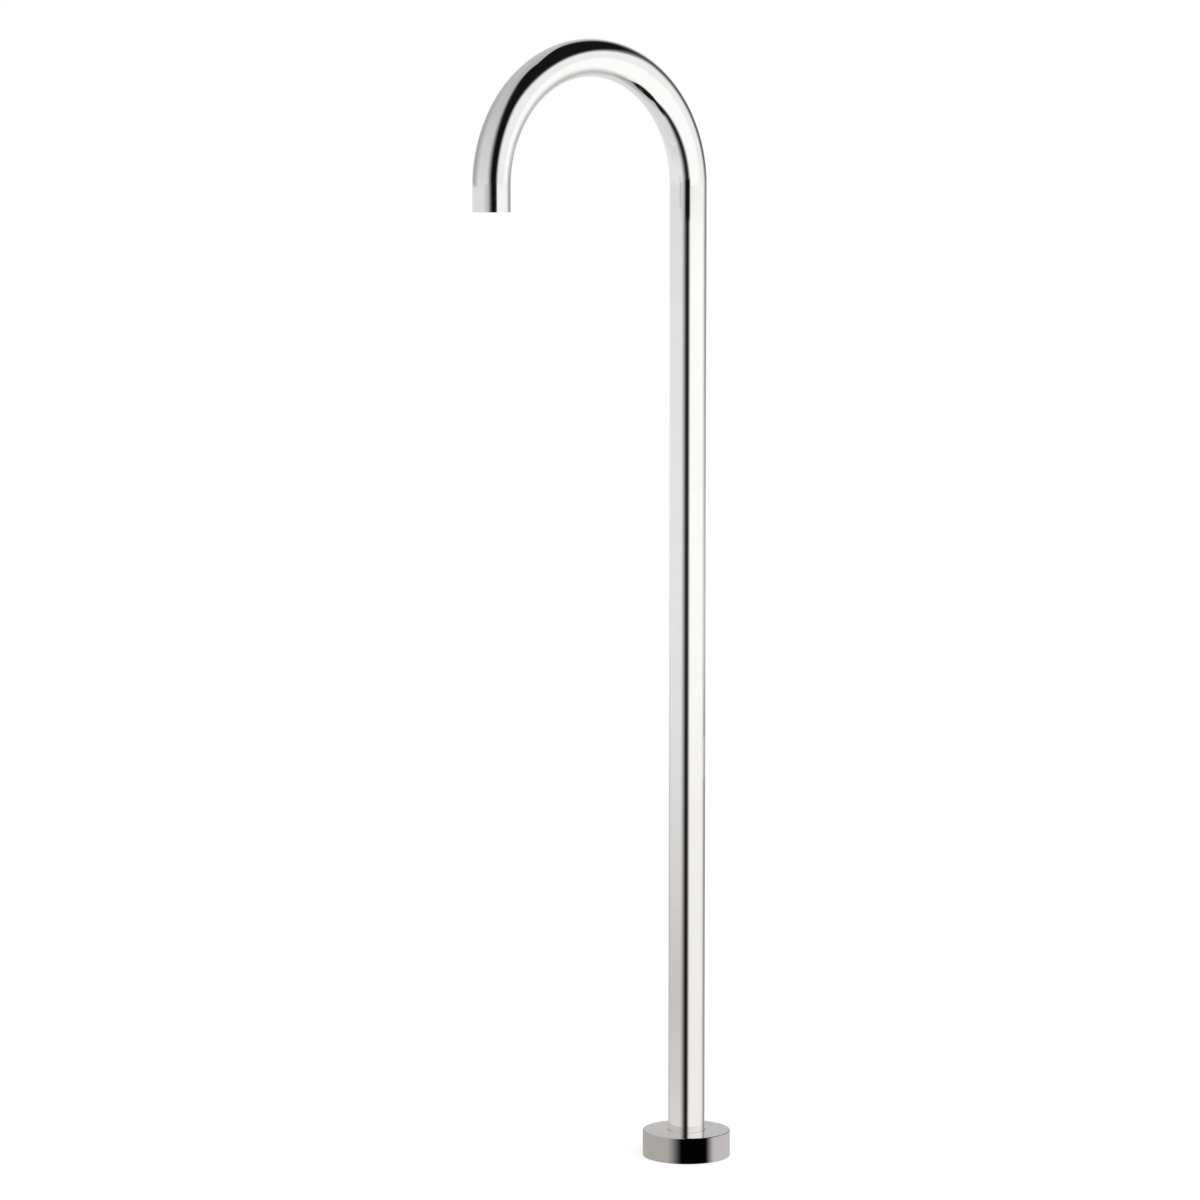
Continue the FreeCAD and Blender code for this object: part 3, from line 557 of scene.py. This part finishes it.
# Above the horizon: the gap behind on the left, the soft box, the gap on its right, and the black cards over
# the lens and under the ceiling.
mirrored = hang_card(
    room, mirrored, angles, tone=0.64, left=(-128, 65), right=(-130, 56), low=(0.7, 1), high=(15, 47))
mirrored = hang_low_cards(room, mirrored, angles)
mirrored = hang_card(
    room, mirrored, angles, tone=0.928, left=(10, 4), right=(120, 40), low=(0.5, 2), high=(28.5, 4.5))
mirrored = hang_card(
    room, mirrored, angles, tone=0.31, left=(137, 33), right=(140, 40), low=(6, 22), high=(43, 22))
mirrored = hang_card(
    room, mirrored, angles, tone=0.06, left=(4, 34), right=(24, 21), low=(0.8, 1.3), high=(55, 21),
    spread=0.0027)
mirrored = hang_card(
    room, mirrored, angles, tone=0.08, left=(41, 43), right=(123, 43), low=(41, 16), spread=0.012)

# Three dark rugs on a floor one metre below, a little towards the camera: the place of each, and the radii
# where it ends and where it is full.
rug_light = as_light(0.1)
rug_floor = -1.0
least_drop = -0.001
rugs = [
    ((0.055, -0.045, rug_floor), 0.30, 0.17),
    ((0.06, -0.24, rug_floor), 0.19, 0.06),
    ((-0.15, -0.36, rug_floor), 0.24, 0.08)]
looking, looking_part = seen_from_camera(room, direction)
floor_drop = calculate(room, "MINIMUM", looking_part["Z"], least_drop)
floor_scale = calculate(room, "DIVIDE", rug_floor, floor_drop)
floor_point = add(room, "ShaderNodeVectorMath", {0: looking, "Scale": floor_scale}, operation="SCALE")
for rug_place, rug_end, rug_full in rugs:
    rug_reach = add(room, "ShaderNodeVectorMath", {
        0: floor_point.outputs["Vector"], 1: rug_place}, operation="DISTANCE").outputs["Value"]
    rug_cover = soft_step(room, rug_reach, rug_end, rug_full)
    mirrored = mix_colours(room, rug_cover, mirrored, (rug_light, rug_light, rug_light, 1))

# White for the camera, the room for mirrors, and one plain level for everything else.
plain_level = 0.78
rays = add(room, "ShaderNodeLightPath").outputs
mirror_ray = calculate(room, "MAXIMUM", rays["Is Glossy Ray"], rays["Is Transmission Ray"])
shown = mix_colours(room, mirror_ray, (plain_level, plain_level, plain_level, 1), mirrored)
shown = mix_colours(room, rays["Is Camera Ray"], shown, (1, 1, 1, 1))
light_out = add(room, "ShaderNodeBackground", {"Color": shown, "Strength": 1.0})
add(room, "ShaderNodeOutputWorld", {"Surface": light_out.outputs["Background"]})

# One large soft lamp, high on the camera's right. Mirrors don't see it, because they see the soft box.
lamp_strength = 0.8
lamp_softness = math.radians(50)
lamp_tilt = math.radians(42)
lamp_side = math.radians(48)
lamp = bpy.data.lights.new("soft_lamp", "SUN")
lamp.energy = lamp_strength
lamp.angle = lamp_softness
lamp_object = bpy.data.objects.new("soft_lamp", lamp)
lamp_object.rotation_euler = (lamp_tilt, 0, camera_turn + lamp_side)
lamp_object.visible_glossy = False
bpy.context.scene.collection.objects.link(lamp_object)

# The floor is white to the camera, with a faint shadow. Mirrors look past it, and from below it is open.
# It lies a hair under the gasket, so that their faces don't meet.
floor_side = 60.0
floor_gap = 0.0001
floor_bounce = (0.82, 0.82, 0.82, 1)
floor_shade = (0.34, 0.34, 0.34, 1)
floor_glow = 0.73
floor_form = bmesh.new()
bmesh.ops.create_grid(floor_form, x_segments=1, y_segments=1, size=floor_side / 2)
bmesh.ops.translate(floor_form, verts=floor_form.verts, vec=(0, 0, -floor_gap))
floor_mesh = bpy.data.meshes.new("floor")
floor_form.to_mesh(floor_mesh)
floor_form.free()
floor = bpy.data.objects.new("floor", floor_mesh)
bpy.context.scene.collection.objects.link(floor)
floor.visible_glossy = False
floor_white = bpy.data.materials.new("floor_white")
floor_white.use_nodes = True
floor_tree = floor_white.node_tree
floor_tree.nodes.clear()
bounced = add(floor_tree, "ShaderNodeBsdfDiffuse", {"Color": floor_bounce})
shadowed = add(floor_tree, "ShaderNodeBsdfDiffuse", {"Color": floor_shade})
glow = add(floor_tree, "ShaderNodeEmission", {"Color": (1, 1, 1, 1), "Strength": floor_glow})
paper = add(floor_tree, "ShaderNodeAddShader", {0: shadowed.outputs["BSDF"], 1: glow.outputs["Emission"]})
seen_by = add(floor_tree, "ShaderNodeLightPath").outputs["Is Camera Ray"]
floor_top = add(floor_tree, "ShaderNodeMixShader", {
    0: seen_by, 1: bounced.outputs["BSDF"], 2: paper.outputs["Shader"]})
open_air = add(floor_tree, "ShaderNodeBsdfTransparent")
from_below = add(floor_tree, "ShaderNodeNewGeometry").outputs["Backfacing"]
floor_shader = add(floor_tree, "ShaderNodeMixShader", {
    0: from_below, 1: floor_top.outputs["Shader"], 2: open_air.outputs["BSDF"]})
add(floor_tree, "ShaderNodeOutputMaterial", {"Surface": floor_shader.outputs["Shader"]})
floor_mesh.materials.append(floor_white)


# Screens that only mirrors see, close to the piece, so that they act on one part of it alone.
ring_sides = 192


def mirror_only(name, form, build_shader):
    """A stage object that only mirrors see, with its own shader."""
    mesh = bpy.data.meshes.new(name)
    form.to_mesh(mesh)
    form.free()
    material = bpy.data.materials.new(name)
    material.use_nodes = True
    tree = material.node_tree
    tree.nodes.clear()
    position = add(tree, "ShaderNodeTexCoord").outputs["Object"]
    add(tree, "ShaderNodeOutputMaterial", {"Surface": build_shader(tree, position)})
    mesh.materials.append(material)
    screen = bpy.data.objects.new(name, mesh)
    bpy.context.scene.collection.objects.link(screen)
    screen.visible_camera = False
    screen.visible_diffuse = False
    screen.visible_shadow = False
    screen.visible_transmission = False


def standing_ring(ring_radius, low, high):
    """A ring of wall round the column's axis."""
    form = bmesh.new()
    bmesh.ops.create_circle(form, segments=ring_sides, radius=ring_radius)
    bmesh.ops.translate(form, verts=form.verts, vec=(0, 0, low))
    wall = bmesh.ops.extrude_edge_only(form, edges=form.edges[:])["geom"]
    bmesh.ops.translate(form, verts=of_kind(wall, bmesh.types.BMVert), vec=(0, 0, high - low))
    return form


def glowing(tree, colour):
    """A card's shader, which shines with this colour."""
    return add(tree, "ShaderNodeEmission", {"Color": colour, "Strength": 1.0}).outputs["Emission"]


# A glowing sleeve just round the cover, which only mirrors see, for its side alone: a painted reflection
# fixed to the cover's side, grey on the left, black before the camera, paler on the right, and a painted
# shade behind.
sleeve_radius = 0.0424
sleeve_low = -0.002
sleeve_top = 0.0249
sleeve_blend = 0.4
sleeve_left = (0.663, 0.648, 0.636)
sleeve_right = (0.748, 0.724, 0.728)


def sleeve_shader(tree, place):
    """The painted reflection: two sides, the painted shade behind, and the pale and the black card over
    them.
    """
    sleeve_angles = studio_angles(tree, place)
    _, part = seen_from_camera(tree, place)
    right_share = soft_step(tree, part["X"], -sleeve_blend * sleeve_radius, sleeve_blend * sleeve_radius)
    left_light, right_light = (
        [as_light(tone) for tone in tones] + [1] for tones in (sleeve_left, sleeve_right))
    seen = mix_colours(tree, right_share, left_light, right_light)
    seen = hang_card(tree, seen, sleeve_angles, tone=0.42, left=(-134, 26), right=(-126, 22))
    seen = hang_card(tree, seen, sleeve_angles, tone=0.86, left=(128, 18), right=(146, 12))
    seen = hang_card(tree, seen, sleeve_angles, tone=0.0, left=(-7, 22.5), right=(24.7, 15))
    return glowing(tree, seen)


mirror_only("cover_painted_reflection", standing_ring(sleeve_radius, sleeve_low, sleeve_top), sleeve_shader)


# A thin warm veil that only mirrors see: painted shade in the column's reflections, darker low down, more so
# on its left and behind. Heights, and what the veil lets through.
veil_radius = 0.3
veil_low = -2.0
veil_side_blend = 0.6
veil_back_blend = (0.4, 0.9)
veil_left = [
    (-0.03, (0.849, 0.822, 0.808)), (0.01, (0.80, 0.77, 0.765)), (0.095, (0.725, 0.695, 0.683)),
    (0.2, (0.83, 0.796, 0.79)), (0.29, (0.894, 0.885, 0.88)), (0.385, (0.951, 0.942, 0.936)),
    (0.477, (0.99, 0.985, 0.98)), (0.56, (1.0, 1.0, 1.0))]
veil_right = [
    (-0.03, (0.868, 0.862, 0.858)), (0.2, (0.878, 0.872, 0.866)), (0.29, (0.92, 0.912, 0.908)),
    (0.385, (0.973, 0.965, 0.962)), (0.56, (1.0, 1.0, 1.0))]
veil_back = [(-0.03, (0.64, 0.63, 0.625)), (0.2, (0.64, 0.63, 0.625)), (0.56, (1.0, 1.0, 1.0))]


def veil_shader(tree, place):
    """A clear veil with the tints of its left, its right and its back, which paint shade into what mirrors
    see.
    """
    _, part = seen_from_camera(tree, place)
    left, right, back = (
        colour_ramp(tree, part["Z"], stops) for stops in (veil_left, veil_right, veil_back))
    side_share = soft_step(tree, part["X"], -veil_side_blend * veil_radius, veil_side_blend * veil_radius)
    back_share = soft_step(tree, part["Y"], *(share * veil_radius for share in veil_back_blend))
    tint = mix_colours(tree, side_share, left, right)
    tint = mix_colours(tree, back_share, tint, back)
    return add(tree, "ShaderNodeBsdfTransparent", {"Color": tint}).outputs["BSDF"]


mirror_only("low_painted_shade_veil", standing_ring(veil_radius, veil_low, veil_left[-1][0]), veil_shader)


# A low band of wall: the cover's top mirrors the column as it stands against the room below the horizon.
band_radius = 1.0
band_low = 0.225
band_high = 0.275
band_elevation = -8.0


def band_shader(tree, place):
    """The wall and the low cards, all as they are at one elevation."""
    elevation = add(tree, "ShaderNodeValue").outputs["Value"]
    elevation.default_value = band_elevation
    band_angles = [studio_angles(tree, place)[0], elevation]
    return glowing(tree, hang_low_cards(tree, tone_ramp(tree, elevation, wall_tones), band_angles))


mirror_only("low_band", standing_ring(band_radius, band_low, band_high), band_shader)

# A low screen before the tip: the tip's straight end shows it where the bend shows the card over the lens.
# Its tones, from its left side to its right, by the distance from the middle of the picture.
screen_distance = 0.59
screen_low = (0.885, 0.8955)
screen_high = (0.938, 0.950)
screen_tones = [
    (-0.66, 0.85), (-0.57, 0.82), (-0.42, 0.775), (-0.31, 0.70), (-0.22, 0.40), (-0.15, 0.06), (0.02, 0.06),
    (0.07, 0.30), (0.11, 0.65), (0.14, 0.90), (0.17, 0.985)]


def screen_shader(tree, place):
    """The screen's tones, fading to clear at its lower and its upper edge."""
    _, part = seen_from_camera(tree, place)
    low_share = soft_step(tree, part["Z"], *screen_low)
    high_share = soft_step(tree, part["Z"], *reversed(screen_high))
    solid = calculate(tree, "MULTIPLY", low_share, high_share)
    open_air = add(tree, "ShaderNodeBsdfTransparent").outputs["BSDF"]
    card_light = glowing(tree, tone_ramp(tree, part["X"], screen_tones))
    return add(tree, "ShaderNodeMixShader", {0: solid, 1: open_air, 2: card_light}).outputs["Shader"]


screen_form = bmesh.new()
screen_left, screen_right = screen_tones[0][0], screen_tones[-1][0]
screen_bottom, screen_top = screen_low[0], screen_high[1]
screen_corners = [
    (across, -screen_distance, up) for across, up in (
        (screen_left, screen_bottom), (screen_right, screen_bottom), (screen_right, screen_top),
        (screen_left, screen_top))]
screen_form.faces.new([screen_form.verts.new(corner) for corner in screen_corners])
bmesh.ops.rotate(
    screen_form, verts=screen_form.verts, cent=(0, 0, 0), matrix=Matrix.Rotation(camera_turn, 3, "Z"))
mirror_only("tip_screen", screen_form, screen_shader)

camera_data = bpy.data.cameras.new("camera")
camera_data.lens = lens_length
camera_data.sensor_width = 36.0
camera_data.clip_end = 100.0
camera = bpy.data.objects.new("camera", camera_data)
camera.location = (
    camera_distance * math.sin(camera_turn) - camera_side * math.cos(camera_turn),
    -camera_distance * math.cos(camera_turn) - camera_side * math.sin(camera_turn),
    camera_height)
camera.rotation_euler = (math.radians(90) - camera_dip, 0, camera_turn)
bpy.context.scene.collection.objects.link(camera)
bpy.context.scene.camera = camera
bpy.context.scene.view_settings.view_transform = "Standard"
